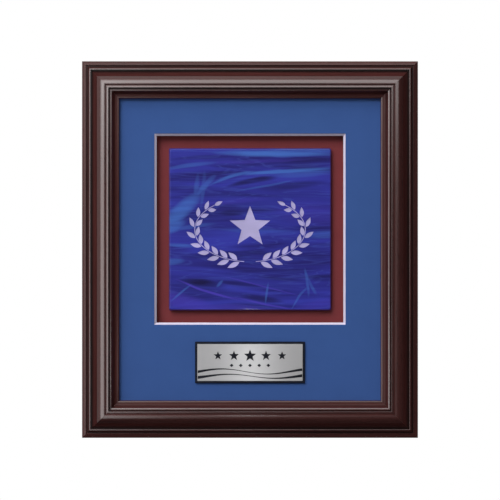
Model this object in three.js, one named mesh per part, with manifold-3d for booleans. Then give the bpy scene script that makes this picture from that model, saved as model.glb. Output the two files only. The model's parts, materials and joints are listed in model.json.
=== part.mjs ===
// A framed award plaque that hangs on a wall. Four mitred lengths of dark stained moulding hold a blue mat,
// whose square bevelled window shows a fused glass tile on a maroon ground board, and an engraved metal
// plate sits on the mat below the window. Foam strips set the mat forward of the ground, to make a shallow
// box. At the back, turn buttons keep the boards in, and a sawtooth hanger rests on the wall's nail.
//
// Every piece is made lying on its back, in millimetres: x to the right, y up the picture, z towards the
// viewer, and z = 0 on the frame's back face. The whole then stands up: +Z up, the front towards -Y, the
// wall's plane at y = 0, and the origin in the hanger's middle notch, where the nail bears.
import * as THREE from "three";
import { mergeVertices } from "three/addons/utils/BufferGeometryUtils.js";
import Module from "manifold-3d";

const wasm = await Module();
wasm.setup();

// ---- Driving dimensions, in millimetres ----
const INCH = 25.4;

// Frame: moulding across its face, its rabbet, and its depth from the back face to the crest.
const RAIL_WIDTH = 1.375 * INCH;
const RABBET_WIDTH = 0.25 * INCH;
const RABBET_DEPTH = 18;
const CREST_HEIGHT = 29.9;
const MITRE_GAP = 0.15; // from each mitred end to the true 45 degree plane

// Boards, cut 10 by 11 1/2 inches, a sixteenth smaller all round than the opening behind the rabbet.
const BOARD_WIDTH = 10 * INCH;
const BOARD_HEIGHT = 11.5 * INCH;
const BOARD_EASE = INCH / 16;
const LAYER_GAP = 0.1;
const LAYER_THICKNESS = { mat: 2.2, spacer: 6, ground: 1.5, mount: 5, back: 2.5 }; // front to back
const SPACER_WIDTH = 25;
const SPACER_WIDTH_BELOW = 62;

// Window in the mat, a square of that size on the front face, with its centre above the plaque's own.
const WINDOW_SIZE = 179.5;
const WINDOW_RISE = 19.1;

// Glass tile, cut from eighth-inch sheet, on square foam pads near its corners.
const TILE_SIZE = 6 * INCH;
const TILE_THICKNESS = INCH / 8;
const TILE_ARRIS = 0.6;
const PAD_SIZE = 19;
const PAD_THICKNESS = 1;
const PAD_OFFSET = 52; // from the tile's centre, across and up

// Engraved plate: a silver face on a black backing, on adhesive film.
const PLATE_DROP = 105.7; // from the plaque's centre down to the plate's
const PLATE_BACKING = { width: 103, height: 39, thickness: 1 };
const PLATE_FACE = { width: 98.6, height: 34.6, thickness: 0.6 };
const PLATE_FILM = { width: 96, height: 32, thickness: 0.2 };
const PLATE_CORNER = 0.6;

// Corner nails: V-shaped steel wedges driven across each mitre from the back.
const V_NAIL_DISTANCES = [7, 17]; // from the outer edges in to each V's point
const V_NAIL_LEG = 6.5;
const V_NAIL_HALF_ANGLE = THREE.MathUtils.degToRad(36);
const V_NAIL_THICKNESS = 0.6;
const V_NAIL_DEPTH = 10;
const V_NAIL_SUNK = 0.4;

// Turn buttons and their screws.
const BUTTON_PIVOT = 19.5; // from the frame's outer edge
const BUTTON_ROUND = 6.2;
const BUTTON_TIP_ROUND = 3.6;
const BUTTON_REACH = 13.4; // from the pivot to the centre of the tip's round
const BUTTON_THICKNESS = 1.2;
const BUTTON_LIFT = 0.15; // clear of the wood
const SCREW_RADIUS = 1.6;
const SCREW_DEPTH = 12;
const SCREW_HEAD_RADIUS = 3.7;
const SCREW_HEAD_HEIGHT = 1.9;
const SCREW_RECESS = { length: 3.8, width: 0.8, depth: 1.1 };

// Sawtooth hanger and its two nails.
const WALL_GAP = 4; // from the frame's back face to the wall
const NOTCH_DROP = 14; // from the frame's top edge down to the notches
const HANGER_LENGTH = 51;
const HANGER_TOP = 7.5; // from the notches up to the strip's upper edge
const HANGER_THICKNESS = 0.9;
const HANGER_FOOT = 7; // the flat length at each end
const HANGER_RAMP = 2.6;
const TOOTH_PITCH = 2.4;
const TOOTH_DEPTH = 1.6;
const TEETH_EACH_SIDE = 6;
const HANGER_NAIL = { radius: 0.8, depth: 13, headRadius: 2.1, headHeight: 0.8 };

// Rubber bumpers at the two lower corners.
const BUMPER_INSET = 20; // from the frame's side
const BUMPER_RISE = 12; // from the frame's lower edge
const BUMPER_FOOT_RADIUS = 5.5;
const BUMPER_FACE_RADIUS = 4;

const CLEARANCE = 0.3; // round anything driven into the wood
const CURVE_STEPS = 8;
const ROUND_SIDES = 24;

// ---- What follows from them ----
const FRAME_WIDTH = BOARD_WIDTH + 2 * (BOARD_EASE + RAIL_WIDTH - RABBET_WIDTH);
const FRAME_HEIGHT = BOARD_HEIGHT + 2 * (BOARD_EASE + RAIL_WIDTH - RABBET_WIDTH);
const HANG_DROP = FRAME_HEIGHT / 2 - NOTCH_DROP; // from the nail down to the plaque's centre
const QUARTER_TURN = Math.PI / 2;

// Each board's front and back face, stacked from the rabbet towards the wall.
const layers = {};
let stackedTo = RABBET_DEPTH;
for (const [name, thickness] of Object.entries(LAYER_THICKNESS)) {
  const front = stackedTo - LAYER_GAP;
  layers[name] = { front, back: front - thickness, thickness };
  stackedTo = layers[name].back;
}

// ---- Materials ----
const finish = (color, roughness, metalness = 0) =>
  new THREE.MeshStandardMaterial({ color, roughness, metalness });

const materials = {
  wood: finish(0x3f2826, 0.35),
  blueMat: finish(0x37518a, 0.9),
  maroonBoard: finish(0x73363a, 0.9),
  foamBoard: finish(0xe9e7e0, 0.9),
  hardboard: finish(0x7a5636, 0.8),
  glass: finish(0x2f2f96, 0.12),
  adhesive: finish(0xd8d8d2, 0.6),
  silver: finish(0xb4b5b7, 0.35, 0.9),
  blackMetal: finish(0x15161a, 0.4, 0.6),
  zinc: finish(0xa9acae, 0.4, 0.9),
  brassPlate: finish(0xb08d4a, 0.35, 0.9),
  rubber: finish(0x3a3432, 0.85),
};

// ---- Geometry helpers ----

/** A closed geometry as a manifold-3d solid. */
function solidOf(geometry) {
  const bare = geometry.clone();
  bare.deleteAttribute("normal");
  bare.deleteAttribute("uv");
  const merged = mergeVertices(bare);
  return new wasm.Manifold(
    new wasm.Mesh({
      numProp: 3,
      vertProperties: merged.attributes.position.array,
      triVerts: new Uint32Array(merged.index.array),
    }),
  );
}

/** A manifold-3d solid as a flat-shaded geometry. */
function geometryOf(solid) {
  const { vertProperties, triVerts } = solid.getMesh();
  const geometry = new THREE.BufferGeometry();
  geometry.setAttribute("position", new THREE.BufferAttribute(vertProperties, 3));
  geometry.setIndex(new THREE.BufferAttribute(triVerts, 1));
  const faceted = geometry.toNonIndexed();
  faceted.computeVertexNormals();
  return faceted;
}

/** The geometry with every cutter taken out of it. */
function cut(geometry, cutters) {
  return geometryOf(cutters.reduce((left, cutter) => left.subtract(solidOf(cutter)), solidOf(geometry)));
}

/** A shape extruded straight along z, from the lower z to the upper. */
function extrude(shape, from, to) {
  const settings = { depth: to - from, bevelEnabled: false, curveSegments: CURVE_STEPS };
  return new THREE.ExtrudeGeometry(shape, settings).translate(0, 0, from);
}

/** A rectangle with rounded corners, centred on the origin. */
function roundedRectangle(width, height, radius) {
  const [x, y] = [width / 2 - radius, height / 2 - radius];
  const shape = new THREE.Shape();
  shape.absarc(x, y, radius, 0, QUARTER_TURN);
  shape.absarc(-x, y, radius, QUARTER_TURN, 2 * QUARTER_TURN);
  shape.absarc(-x, -y, radius, 2 * QUARTER_TURN, 3 * QUARTER_TURN);
  shape.absarc(x, -y, radius, 3 * QUARTER_TURN, 4 * QUARTER_TURN);
  return shape;
}

/** A round hole for a shape. */
function circle(x, y, radius) {
  return new THREE.Path().absarc(x, y, radius, 0, 2 * Math.PI, true);
}

/** A rectangular board between two heights, centred on the z axis. */
function board(width, height, front, back) {
  return new THREE.BoxGeometry(width, height, front - back).translate(0, 0, (front + back) / 2);
}

/** A profile of [radius, height behind the frame] pairs, turned round the z axis. */
function turned(profile, sides = ROUND_SIDES) {
  const points = profile.map(([radius, height]) => new THREE.Vector2(radius, height));
  return new THREE.LatheGeometry(points, sides).rotateX(-QUARTER_TURN);
}

/** A round hole for something driven in from the back. */
function pilotHole(radius, depth) {
  const [wide, deep, mouth] = [radius + CLEARANCE, -depth - CLEARANCE, 1];
  return turned([[0, deep], [wide, deep], [wide, mouth], [0, mouth]]);
}

function named(name, geometry, material) {
  const mesh = new THREE.Mesh(geometry, material);
  mesh.name = name;
  return mesh;
}

// ---- Frame ----

/**
 * The moulding's section: x from the outer edge to the sight edge, y from the back face to the front.
 * Its front runs from the lip through a cove, a step, a bead, the crest, an ogee and an outer bead.
 */
function mouldingSection() {
  const degrees = THREE.MathUtils.degToRad;
  const rabbetWall = RAIL_WIDTH - RABBET_WIDTH;
  const section = new THREE.Shape();
  section.moveTo(0, 0);
  section.lineTo(rabbetWall, 0);
  section.lineTo(rabbetWall, RABBET_DEPTH);
  section.lineTo(RAIL_WIDTH, RABBET_DEPTH);
  // Lip bead, then the inner cove, which ends under the step's rounded edge.
  section.absarc(RAIL_WIDTH - 1.4, CREST_HEIGHT - 9.48, 1.4, 0, degrees(84));
  section.absarc(32.95, CREST_HEIGHT - 3.1, 4.85, degrees(-96), degrees(-162), true);
  section.absarc(27.15, CREST_HEIGHT - 5.8, 2.1, degrees(56), degrees(81));
  section.lineTo(26.4, CREST_HEIGHT - 3.6);
  // Quirk, and a lop-sided inner bead with a tight edge towards the opening.
  section.lineTo(26.2, CREST_HEIGHT - 4.0);
  section.lineTo(25.35, CREST_HEIGHT - 4.0);
  section.absarc(25.05, CREST_HEIGHT - 1.05, 0.3, 0, degrees(90));
  section.absarc(25.05, CREST_HEIGHT - 4.15, 3.4, degrees(90), degrees(120));
  section.lineTo(22.2, CREST_HEIGHT - 1.15);
  // Crest, turning over into the ogee's hollow.
  section.absarc(21.0, CREST_HEIGHT - 8.0, 8.0, degrees(84), degrees(150));
  section.absarc(6.364, CREST_HEIGHT + 0.45, 8.9, degrees(-30), degrees(-70), true);
  // Outer bead between two quirks, also tight towards the opening.
  section.lineTo(9.3, CREST_HEIGHT - 8.3);
  section.lineTo(8.5, CREST_HEIGHT - 8.3);
  section.absarc(7.9, CREST_HEIGHT - 6.05, 0.35, 0, degrees(90));
  section.absarc(7.8, CREST_HEIGHT - 7.1, 1.4, degrees(90), degrees(150));
  section.lineTo(5.8, CREST_HEIGHT - 8.3);
  section.lineTo(5.1, CREST_HEIGHT - 8.7);
  section.lineTo(3.9, CREST_HEIGHT - 8.6);
  // Sloping outer fillet, rounded down to the frame's side.
  section.lineTo(3.6, CREST_HEIGHT - 7.78);
  section.absarc(0.9, CREST_HEIGHT - 10.0, 0.9, degrees(112), degrees(180));
  section.lineTo(0, 0);
  return section;
}

/** The outline of a V-shaped nail, its point at the origin and its legs towards +x. */
function vNailOutline(leg, halfThickness) {
  const [along, across] = [Math.cos(V_NAIL_HALF_ANGLE), Math.sin(V_NAIL_HALF_ANGLE)];
  const outline = new THREE.Shape();
  outline.moveTo(-halfThickness / across, 0);
  outline.lineTo(leg * along + halfThickness * -across, -leg * across - halfThickness * along);
  outline.lineTo(leg * along + halfThickness * across, -leg * across + halfThickness * along);
  outline.lineTo(halfThickness / across, 0);
  outline.lineTo(leg * along + halfThickness * across, leg * across - halfThickness * along);
  outline.lineTo(leg * along - halfThickness * across, leg * across + halfThickness * along);
  return outline;
}

/** Slots for the corner nails in a rail that lies along x with its outer edge on y = 0. */
function vNailSlots(length) {
  const outline = vNailOutline(V_NAIL_LEG + CLEARANCE, V_NAIL_THICKNESS / 2 + CLEARANCE);
  return [-1, 1].flatMap((end) =>
    V_NAIL_DISTANCES.map((distance) =>
      extrude(outline, -1, V_NAIL_SUNK + V_NAIL_DEPTH + CLEARANCE)
        .rotateZ(end < 0 ? QUARTER_TURN / 2 : 1.5 * QUARTER_TURN)
        .translate(end * (length / 2 - distance), distance, 0),
    ),
  );
}

/** A mitred rail along x, its outer edge on y = 0 and its sight edge towards +y. */
function railGeometry(length, holes) {
  const geometry = new THREE.ExtrudeGeometry(mouldingSection(), {
    depth: 1,
    bevelEnabled: false,
    curveSegments: CURVE_STEPS,
  });
  const position = geometry.attributes.position;
  for (let i = 0; i < position.count; i++) {
    const [across, height, share] = [position.getX(i), position.getY(i), position.getZ(i)];
    const halfLength = length / 2 - across - MITRE_GAP * Math.SQRT2;
    position.setXYZ(i, (2 * share - 1) * halfLength, across, height);
  }
  return cut(geometry, [...vNailSlots(length), ...holes]);
}

// ---- Back hardware, each piece with its pivot or axis at the origin ----

/** A turn button, pointing along +y from its screw hole. */
function turnButtonGeometry() {
  const tangent = Math.acos((BUTTON_ROUND - BUTTON_TIP_ROUND) / BUTTON_REACH);
  const outline = new THREE.Shape();
  outline.absarc(0, 0, BUTTON_ROUND, QUARTER_TURN + tangent, 5 * QUARTER_TURN - tangent);
  outline.absarc(0, BUTTON_REACH, BUTTON_TIP_ROUND, QUARTER_TURN - tangent, QUARTER_TURN + tangent);
  outline.holes.push(circle(0, 0, SCREW_RADIUS + CLEARANCE));
  return extrude(outline, -BUTTON_LIFT - BUTTON_THICKNESS, -BUTTON_LIFT);
}

/** A pan-head wood screw with a cross recess, driven in from the back. */
function screwGeometry() {
  const seat = BUTTON_LIFT + BUTTON_THICKNESS + LAYER_GAP;
  const domeSteps = 5;
  const dome = Array.from({ length: domeSteps + 1 }, (_, step) => {
    const angle = (step / domeSteps) * QUARTER_TURN;
    const rise = SCREW_HEAD_HEIGHT * (0.25 + 0.75 * Math.sin(angle));
    return [SCREW_HEAD_RADIUS * Math.cos(angle), seat + rise];
  });
  dome[domeSteps][0] = 0;
  const body = turned([
    [0, -SCREW_DEPTH],
    [SCREW_RADIUS, -SCREW_DEPTH + 3],
    [SCREW_RADIUS, seat],
    [SCREW_HEAD_RADIUS, seat],
    ...dome,
  ]);
  const { length, width, depth } = SCREW_RECESS;
  const recessCentre = -(seat + SCREW_HEAD_HEIGHT - depth / 2 + 0.5);
  const arms = [
    new THREE.BoxGeometry(length, width, depth + 1).translate(0, 0, recessCentre),
    new THREE.BoxGeometry(width, length, depth + 1).translate(0, 0, recessCentre),
  ];
  return cut(body, arms);
}

/** Where the hanger's two nails are, in the middle of its feet. */
function hangerNailPlaces() {
  const middle = NOTCH_DROP + (TOOTH_DEPTH - HANGER_TOP) / 2;
  return [-1, 1].map((end) => [(end * (HANGER_LENGTH - HANGER_FOOT)) / 2, middle]);
}

/** The hanger's strip seen from behind: teeth along one edge, a nail hole in each foot. */
function hangerPlan() {
  const [half, upper, tips] = [HANGER_LENGTH / 2, NOTCH_DROP - HANGER_TOP, NOTCH_DROP + TOOTH_DEPTH];
  const toothTip = TOOTH_PITCH / 2 - 0.1;
  const plan = new THREE.Shape();
  plan.moveTo(-half, upper);
  plan.lineTo(half, upper);
  plan.lineTo(half, tips);
  for (let tooth = TEETH_EACH_SIDE; tooth >= -TEETH_EACH_SIDE; tooth--) {
    const middle = tooth * TOOTH_PITCH;
    plan.lineTo(middle + toothTip, tips);
    plan.lineTo(middle, NOTCH_DROP);
    plan.lineTo(middle - toothTip, tips);
  }
  plan.lineTo(-half, tips);
  plan.holes = hangerNailPlaces().map(([x, y]) => circle(x, y, HANGER_NAIL.radius + CLEARANCE));
  return plan;
}

/** The hanger's strip seen from its edge: a flat foot at each end and a raised middle. */
function hangerSide() {
  const half = HANGER_LENGTH / 2;
  const [footEnd, rampEnd] = [half - HANGER_FOOT, half - HANGER_FOOT - HANGER_RAMP];
  const low = [LAYER_GAP, LAYER_GAP + HANGER_THICKNESS];
  const high = [WALL_GAP - HANGER_THICKNESS, WALL_GAP];
  const slant = HANGER_THICKNESS / 2;
  const side = new THREE.Shape();
  side.moveTo(-half, low[0]);
  side.lineTo(-footEnd + slant, low[0]);
  side.lineTo(-rampEnd + slant, high[0]);
  side.lineTo(rampEnd - slant, high[0]);
  side.lineTo(footEnd - slant, low[0]);
  side.lineTo(half, low[0]);
  side.lineTo(half, low[1]);
  side.lineTo(footEnd, low[1]);
  side.lineTo(rampEnd, high[1]);
  side.lineTo(-rampEnd, high[1]);
  side.lineTo(-footEnd, low[1]);
  side.lineTo(-half, low[1]);
  return side;
}

/** The sawtooth hanger: what its two outlines have in common. */
function hangerGeometry() {
  const plan = extrude(hangerPlan(), -WALL_GAP - 1, 1);
  const side = extrude(hangerSide(), 0, 2 * NOTCH_DROP).rotateX(-QUARTER_TURN);
  return geometryOf(solidOf(plan).intersect(solidOf(side)));
}

function hangerNailGeometry() {
  const { radius, depth, headRadius, headHeight } = HANGER_NAIL;
  const seat = HANGER_THICKNESS + 2 * LAYER_GAP;
  return turned([
    [0, -depth],
    [radius, -depth + 2],
    [radius, seat],
    [headRadius, seat],
    [headRadius, seat + headHeight],
    [0, seat + headHeight],
  ]);
}

function bumperGeometry() {
  return turned([
    [0, LAYER_GAP],
    [BUMPER_FOOT_RADIUS, LAYER_GAP],
    [BUMPER_FOOT_RADIUS, 1.2],
    [BUMPER_FACE_RADIUS + 0.6, WALL_GAP - 0.5],
    [BUMPER_FACE_RADIUS, WALL_GAP],
    [0, WALL_GAP],
  ]);
}

// ---- Assembly ----

/** Each rail's side, its quarter turns from the bottom rail, and its buttons' names and places along it. */
const sides = [
  { side: "bottom", turns: 0, buttons: [["_left", -75], ["_right", 75]] },
  { side: "right", turns: 1, buttons: [["", 0]] },
  { side: "top", turns: 2, buttons: [["_left", 75], ["_right", -75]] },
  { side: "left", turns: 3, buttons: [["", 0]] },
];

/** A rail with its turn buttons and screws, in a group that lies along x with its outer edge on y = 0. */
function railGroup({ side, turns, buttons }) {
  const upright = turns % 2 === 1;
  const length = upright ? FRAME_HEIGHT : FRAME_WIDTH;
  const distance = (upright ? FRAME_WIDTH : FRAME_HEIGHT) / 2;
  const group = new THREE.Group();
  group.rotation.z = turns * QUARTER_TURN;
  group.position.set(0, -distance, 0).applyEuler(group.rotation);
  const holes = buttons.map(([, x]) => pilotHole(SCREW_RADIUS, SCREW_DEPTH).translate(x, BUTTON_PIVOT, 0));
  if (side === "top") {
    const nailHole = pilotHole(HANGER_NAIL.radius, HANGER_NAIL.depth);
    holes.push(...hangerNailPlaces().map(([x, y]) => nailHole.clone().translate(x, y, 0)));
  }
  group.add(named(`frame_rail_${side}`, railGeometry(length, holes), materials.wood));
  for (const [place, x] of buttons) {
    const button = named(`turn_button_${side}${place}`, turnButtonGeometry(), materials.zinc);
    const screw = named(`turn_button_screw_${side}${place}`, screwGeometry(), materials.brassPlate);
    button.position.set(x, BUTTON_PIVOT, 0);
    screw.position.set(x, BUTTON_PIVOT, 0);
    group.add(button, screw);
  }
  if (side === "top") group.add(...hangerMeshes());
  if (side === "bottom") group.add(...bumperMeshes());
  return group;
}

function hangerMeshes() {
  const strip = named("sawtooth_hanger", hangerGeometry(), materials.zinc);
  // The top rail's group is turned half round, so its -x is on the plaque's right, seen from the front.
  const nails = hangerNailPlaces().map(([x, y], index) => {
    const nail = named(`hanger_nail_${["right", "left"][index]}`, hangerNailGeometry(), materials.brassPlate);
    nail.position.set(x, y, 0);
    return nail;
  });
  return [strip, ...nails];
}

function bumperMeshes() {
  return [-1, 1].map((end) => {
    const bumper = named(`wall_bumper_${end < 0 ? "left" : "right"}`, bumperGeometry(), materials.rubber);
    bumper.position.set(end * (FRAME_WIDTH / 2 - BUMPER_INSET), BUMPER_RISE, 0);
    return bumper;
  });
}

/** Two nails across the mitre at each corner. */
function cornerNails() {
  const outline = vNailOutline(V_NAIL_LEG, V_NAIL_THICKNESS / 2);
  const nails = [];
  for (const [row, up] of [["bottom", -1], ["top", 1]]) {
    for (const [column, right] of [["left", -1], ["right", 1]]) {
      V_NAIL_DISTANCES.forEach((distance, index) => {
        const name = `v_nail_${row}_${column}_${["outer", "inner"][index]}`;
        const nail = named(name, extrude(outline, V_NAIL_SUNK, V_NAIL_SUNK + V_NAIL_DEPTH), materials.zinc);
        nail.rotation.z = Math.atan2(-up, -right);
        nail.position.set(right * (FRAME_WIDTH / 2 - distance), up * (FRAME_HEIGHT / 2 - distance), 0);
        nails.push(nail);
      });
    }
  }
  return nails;
}

/** The blue mat, its window cut through at 45 degrees so that the core shows as a bevel. */
function windowMat() {
  const { front, back, thickness } = layers.mat;
  const overrun = 1;
  // A four-sided cone's radius reaches its corners, so a square's half side is its radius over root 2.
  const cornerRadius = (halfSide) => halfSide * Math.SQRT2;
  const cutter = new THREE.CylinderGeometry(
    cornerRadius(WINDOW_SIZE / 2 + overrun),
    cornerRadius(WINDOW_SIZE / 2 - thickness - overrun),
    thickness + 2 * overrun,
    4,
  );
  cutter.rotateY(QUARTER_TURN / 2);
  cutter.rotateX(QUARTER_TURN);
  cutter.translate(0, WINDOW_RISE, (front + back) / 2);
  return named("window_mat", cut(board(BOARD_WIDTH, BOARD_HEIGHT, front, back), [cutter]), materials.blueMat);
}

/** Foam strips round the window, which hold the mat forward of the ground board. */
function spacers() {
  const { front, back } = layers.spacer;
  const uprightHeight = BOARD_HEIGHT - SPACER_WIDTH - SPACER_WIDTH_BELOW - 2 * LAYER_GAP;
  const uprightCentre = (SPACER_WIDTH_BELOW - SPACER_WIDTH) / 2;
  const strips = [
    ["top", BOARD_WIDTH, SPACER_WIDTH, 0, (BOARD_HEIGHT - SPACER_WIDTH) / 2],
    ["bottom", BOARD_WIDTH, SPACER_WIDTH_BELOW, 0, (SPACER_WIDTH_BELOW - BOARD_HEIGHT) / 2],
    ["left", SPACER_WIDTH, uprightHeight, (SPACER_WIDTH - BOARD_WIDTH) / 2, uprightCentre],
    ["right", SPACER_WIDTH, uprightHeight, (BOARD_WIDTH - SPACER_WIDTH) / 2, uprightCentre],
  ];
  return strips.map(([place, width, height, x, y]) => {
    const strip = named(`mat_spacer_${place}`, board(width, height, front, back), materials.foamBoard);
    strip.position.set(x, y, 0);
    return strip;
  });
}

/** A full-size board of the stack. */
function fullBoard(name, layer, material) {
  return named(name, board(BOARD_WIDTH, BOARD_HEIGHT, layer.front, layer.back), material);
}

/** The glass tile with polished arrises, on its pads, in a group centred on the window. */
function tileGroup() {
  const group = new THREE.Group();
  group.position.set(0, WINDOW_RISE, layers.ground.front + LAYER_GAP);
  const outline = roundedRectangle(TILE_SIZE - 2 * TILE_ARRIS, TILE_SIZE - 2 * TILE_ARRIS, TILE_ARRIS);
  const glass = new THREE.ExtrudeGeometry(outline, {
    depth: TILE_THICKNESS - 2 * TILE_ARRIS,
    bevelThickness: TILE_ARRIS,
    bevelSize: TILE_ARRIS,
    bevelSegments: 2,
    curveSegments: 3,
  });
  glass.translate(0, 0, PAD_THICKNESS + LAYER_GAP + TILE_ARRIS);
  group.add(named("glass_tile", glass, materials.glass));
  for (const [row, up] of [["bottom", -1], ["top", 1]]) {
    for (const [column, right] of [["left", -1], ["right", 1]]) {
      const foam = board(PAD_SIZE, PAD_SIZE, PAD_THICKNESS, 0);
      const pad = named(`tile_pad_${row}_${column}`, foam, materials.adhesive);
      pad.position.set(right * PAD_OFFSET, up * PAD_OFFSET, 0);
      group.add(pad);
    }
  }
  return group;
}

/** The engraved plate's three layers, in a group centred below the window on the mat's face. */
function plateGroup() {
  const group = new THREE.Group();
  group.position.set(0, -PLATE_DROP, layers.mat.front);
  let height = 0;
  const stack = [
    ["plate_film", PLATE_FILM, materials.adhesive],
    ["plate_backing", PLATE_BACKING, materials.blackMetal],
    ["plate_face", PLATE_FACE, materials.silver],
  ];
  for (const [name, size, material] of stack) {
    const outline = roundedRectangle(size.width, size.height, PLATE_CORNER);
    const bottom = height + LAYER_GAP;
    height = bottom + size.thickness;
    group.add(named(name, extrude(outline, bottom, height), material));
  }
  return group;
}

const plaque = new THREE.Group();
plaque.add(
  ...sides.map(railGroup),
  ...cornerNails(),
  windowMat(),
  ...spacers(),
  fullBoard("ground_board", layers.ground, materials.maroonBoard),
  fullBoard("mount_board", layers.mount, materials.foamBoard),
  fullBoard("back_panel", layers.back, materials.hardboard),
  tileGroup(),
  plateGroup(),
);
plaque.rotation.x = QUARTER_TURN;
plaque.position.set(0, -WALL_GAP, -HANG_DROP);

const model = new THREE.Group();
model.add(plaque);

export default model;
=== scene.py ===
"""A framed award plaque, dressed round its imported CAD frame.

The row frame, in metres: X to the right as the front is seen, Z up, the front facing -Y, the wall at y = 0.
Every piece is built in place with its object at the origin, so materials read Object coordinates in metres.
"""
import json
import math
from bisect import bisect_left

import bmesh
import bpy
from mathutils import Matrix, Vector


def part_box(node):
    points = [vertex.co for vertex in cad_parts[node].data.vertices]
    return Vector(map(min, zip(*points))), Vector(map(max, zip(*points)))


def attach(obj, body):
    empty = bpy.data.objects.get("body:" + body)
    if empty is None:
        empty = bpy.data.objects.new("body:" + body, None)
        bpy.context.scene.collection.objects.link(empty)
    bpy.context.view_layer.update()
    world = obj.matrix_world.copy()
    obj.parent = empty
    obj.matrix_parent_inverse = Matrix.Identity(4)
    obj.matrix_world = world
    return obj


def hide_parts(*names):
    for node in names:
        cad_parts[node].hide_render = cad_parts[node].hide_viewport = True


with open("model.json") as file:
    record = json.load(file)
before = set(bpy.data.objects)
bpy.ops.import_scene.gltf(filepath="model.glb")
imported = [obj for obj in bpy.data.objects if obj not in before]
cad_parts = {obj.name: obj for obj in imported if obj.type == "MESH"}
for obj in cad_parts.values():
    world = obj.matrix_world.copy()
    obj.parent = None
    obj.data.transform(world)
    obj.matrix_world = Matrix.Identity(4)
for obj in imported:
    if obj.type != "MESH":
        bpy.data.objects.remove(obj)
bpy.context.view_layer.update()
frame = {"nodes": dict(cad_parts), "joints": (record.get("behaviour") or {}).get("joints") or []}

MM = 0.001
TURN = 2 * math.pi

# ---- The plaque's own measures, from the frame ----
left_low, left_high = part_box("frame_rail_left")
top_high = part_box("frame_rail_top")[1]
bottom_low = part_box("frame_rail_bottom")[0]
BACK = left_high.y  # the plane of the frame's back face
RAIL_WIDTH = left_high.x - left_low.x
CREST = BACK - left_low.y  # the moulding's height above its back face
HALF_WIDTH = -left_low.x
MIDDLE = (bottom_low.z + top_high.z) / 2
HALF_HEIGHT = top_high.z - MIDDLE


def centre_of(node):
    """The middle of a CAD node's box."""
    low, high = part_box(node)
    return (low + high) / 2


def placed(name, data):
    """A new object in the scene, at the origin."""
    made = bpy.data.objects.new(name, data)
    bpy.context.scene.collection.objects.link(made)
    return made


def share_of(value, whole):
    """How much of the whole a value is, held between 0 and 1."""
    return min(max(value / whole, 0), 1)


# ---- Material helpers ----


def colour(red, green, blue):
    """Linear colour from the 0 to 255 values that a screen shows."""
    def channel(value):
        value /= 255
        return value / 12.92 if value <= 0.04045 else ((value + 0.055) / 1.055) ** 2.4
    return (channel(red), channel(green), channel(blue), 1.0)


class Nodes:
    """A node tree, with short calls for what the looks here share."""

    def __init__(self, tree):
        self.tree = tree

    def node(self, kind, inputs=None, **settings):
        """A new node. inputs maps its sockets to values or to other nodes' sockets."""
        made = self.tree.nodes.new("ShaderNode" + kind)
        for key, value in settings.items():
            setattr(made, key, value)
        for socket, value in (inputs or {}).items():
            self.feed(made.inputs[socket], value)
        return made

    def feed(self, socket, value):
        if isinstance(value, bpy.types.NodeSocket):
            self.tree.links.new(value, socket)
        else:
            socket.default_value = value

    def math(self, operation, first, second=0.0):
        return self.node("Math", {0: first, 1: second}, operation=operation).outputs[0]

    def rescale(self, value, from_low, from_high, to_low=0.0, to_high=1.0, smooth=False):
        """A value moved from one range to another, and held inside it."""
        inputs = {0: value, 1: from_low, 2: from_high, 3: to_low, 4: to_high}
        kind = "SMOOTHSTEP" if smooth else "LINEAR"
        return self.node("MapRange", inputs, interpolation_type=kind).outputs[0]


class Finish(Nodes):
    """A material's tree. Its settings are values for the shader's own sockets."""

    def __init__(self, name, **settings):
        self.material = bpy.data.materials.new(name)
        self.material.use_nodes = True
        super().__init__(self.material.node_tree)
        self.shader = self.tree.nodes["Principled BSDF"]
        for socket, value in settings.items():
            self.set(socket.replace("_", " "), value)

    def set(self, socket, value):
        self.feed(self.shader.inputs[socket], value)

    def paint(self, base):
        self.set("Base Color", base)

    def stretched(self, where, scale):
        return self.node("Mapping", {"Vector": where, "Scale": scale}).outputs["Vector"]

    def noise(self, scale, detail, rough, warp=0.0, stretch=(1, 1, 1), where=None):
        """Noise over the object's own coordinates, stretched, or over others."""
        if where is None:
            where = self.stretched(self.node("TexCoord").outputs["Object"], stretch)
        inputs = {"Vector": where, "Scale": scale, "Detail": detail, "Roughness": rough, "Distortion": warp}
        return self.node("TexNoise", inputs).outputs["Fac"]

    def vector(self, operation, first, second):
        return self.node("VectorMath", {0: first, 1: second}, operation=operation).outputs[0]

    def weighed(self, first, share, second):
        """Two values added, a share of the first and the rest of the second."""
        rest = self.math("MULTIPLY", second, 1 - share)
        return self.math("ADD", self.math("MULTIPLY", first, share), rest)

    def blend(self, share, first, second):
        """Two colours mixed by a share, 0 to 1."""
        return self.node("Mix", {"Factor": share, 6: first, 7: second}, data_type="RGBA").outputs[2]

    def between(self, value, dark, light, low=0.35, high=0.65):
        """A colour that goes from dark to light as a value goes from low to high."""
        return self.blend(self.rescale(value, low, high), dark, light)

    def bump(self, height, distance, strength):
        """Fine relief: what a height of 1 stands proud, in metres, and how much of it shows."""
        inputs = {"Height": height, "Distance": distance, "Strength": strength}
        self.set("Normal", self.node("Bump", inputs).outputs["Normal"])


# ---- Materials ----


def along_grain(axis, scale):
    """A stretch that draws noise out along one axis alone."""
    return [scale if i == axis else 1.0 for i in range(3)]


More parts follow.
